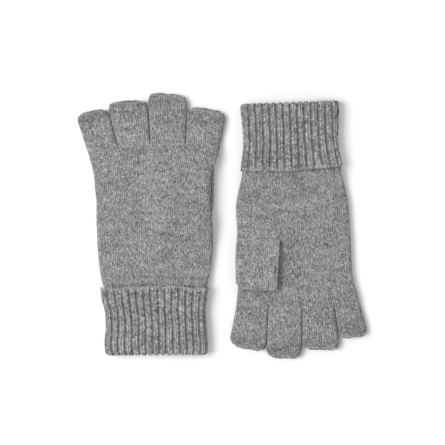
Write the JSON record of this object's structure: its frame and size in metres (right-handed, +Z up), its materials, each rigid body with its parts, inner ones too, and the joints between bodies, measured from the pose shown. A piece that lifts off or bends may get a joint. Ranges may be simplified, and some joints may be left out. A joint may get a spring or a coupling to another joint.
{
  "type": "fingerless gloves",
  "caption": "Ribbed-cuff knitted fingerless gloves lying flat as a pair, one back up and one palm up, with short open finger and thumb stalls and turned-up cuffs.",
  "frame": {"origin": "centre of the pair on the surface that it lies on", "axes": "+Z up, +X from the left glove to the right glove, +Y towards the left glove's fingertips"},
  "size_m": [0.2485, 0.222, 0.0145],
  "materials": {
    "plain_wool": "heathered plain knit",
    "ribbed_wool": "heathered rib knit",
    "bound_edge": "heathered bound-off edge"
  },
  "bodies": {
    "left_hand": {"left_hand": "plain_wool", "left_crotch_stitches": "bound_edge"},
    "left_cuff": {"left_inner_cuff": "ribbed_wool", "left_turned_cuff": "ribbed_wool", "left_cuff_edge": "ribbed_wool"},
    "left_little": {"left_little_stall": "plain_wool", "left_little_hem": "bound_edge"},
    "left_ring": {"left_ring_stall": "plain_wool", "left_ring_hem": "bound_edge"},
    "left_middle": {"left_middle_stall": "plain_wool", "left_middle_hem": "bound_edge"},
    "left_index": {"left_index_stall": "plain_wool", "left_index_hem": "bound_edge"},
    "left_thumb": {"left_thumb_gusset": "plain_wool", "left_thumb_stall": "plain_wool", "left_thumb_hem": "bound_edge"},
    "right_hand": {"right_hand": "plain_wool", "right_crotch_stitches": "bound_edge"},
    "right_cuff": {"right_inner_cuff": "ribbed_wool", "right_turned_cuff": "ribbed_wool", "right_cuff_edge": "ribbed_wool"},
    "right_little": {"right_little_stall": "plain_wool", "right_little_hem": "bound_edge"},
    "right_ring": {"right_ring_stall": "plain_wool", "right_ring_hem": "bound_edge"},
    "right_middle": {"right_middle_stall": "plain_wool", "right_middle_hem": "bound_edge"},
    "right_index": {"right_index_stall": "plain_wool", "right_index_hem": "bound_edge"},
    "right_thumb_root": {"right_thumb_gusset": "plain_wool"},
    "right_thumb": {"right_thumb_stall": "plain_wool", "right_thumb_hem": "bound_edge"}
  },
  "joints": [
    {"name": "left_wrist_fold", "type": "hinge", "parent": "left_hand", "child": "left_cuff", "pos_m": [-0.0564, -0.0543, 0.0127], "axis": [-1, 0, 0], "range_deg": [0, 60]},
    {"name": "left_little_fold", "type": "hinge", "parent": "left_hand", "child": "left_little", "pos_m": [-0.10224, 0.06304, 0.0071], "axis": [0.9562, 0.2927, 0], "range_deg": [0, 90]},
    {"name": "left_ring_fold", "type": "hinge", "parent": "left_hand", "child": "left_ring", "pos_m": [-0.07619, 0.06855, 0.0071], "axis": [0.992, 0.1263, 0], "range_deg": [0, 90]},
    {"name": "left_middle_fold", "type": "hinge", "parent": "left_hand", "child": "left_middle", "pos_m": [-0.0474, 0.0703, 0.0071], "axis": [1, 0, 0], "range_deg": [0, 90]},
    {"name": "left_index_fold", "type": "hinge", "parent": "left_hand", "child": "left_index", "pos_m": [-0.01761, 0.06855, 0.0071], "axis": [0.993, -0.1178, 0], "range_deg": [0, 90]},
    {"name": "left_thumb_swing", "type": "hinge", "parent": "left_hand", "child": "left_thumb", "pos_m": [-0.0239, -0.002, 0.0071], "axis": [0, 0, -1], "range_deg": [0, 20]},
    {"name": "right_glove_lift", "type": "slide", "parent": "left_hand", "child": "right_hand", "axis": [0, 0, 1], "range_m": [0, 0.12]},
    {"name": "right_wrist_fold", "type": "hinge", "parent": "right_hand", "child": "right_cuff", "pos_m": [0.0611, 0.0498, 0.0127], "axis": [1, 0, 0], "range_deg": [0, 60]},
    {"name": "right_little_fold", "type": "hinge", "parent": "right_hand", "child": "right_little", "pos_m": [0.10469, -0.06478, 0.0071], "axis": [-0.9487, -0.3162, 0], "range_deg": [0, 90]},
    {"name": "right_ring_fold", "type": "hinge", "parent": "right_hand", "child": "right_ring", "pos_m": [0.08062, -0.0693, 0.0071], "axis": [-0.9973, -0.0739, 0], "range_deg": [0, 90]},
    {"name": "right_middle_fold", "type": "hinge", "parent": "right_hand", "child": "right_middle", "pos_m": [0.0526, -0.0703, 0.0071], "axis": [-1, 0, 0], "range_deg": [0, 90]},
    {"name": "right_index_fold", "type": "hinge", "parent": "right_hand", "child": "right_index", "pos_m": [0.02456, -0.06855, 0.0071], "axis": [-0.9917, 0.1286, 0], "range_deg": [0, 90]},
    {"name": "right_thumb_swing", "type": "hinge", "parent": "right_hand", "child": "right_thumb_root", "pos_m": [0.0286, 0.002, 0.0074], "axis": [0, 0, -1], "range_deg": [0, 20]},
    {"name": "right_thumb_lift", "type": "hinge", "parent": "right_thumb_root", "child": "right_thumb", "pos_m": [0.0286, -0.01, 0.0145], "axis": [-1, 0, 0], "range_deg": [0, 90]}
  ]
}
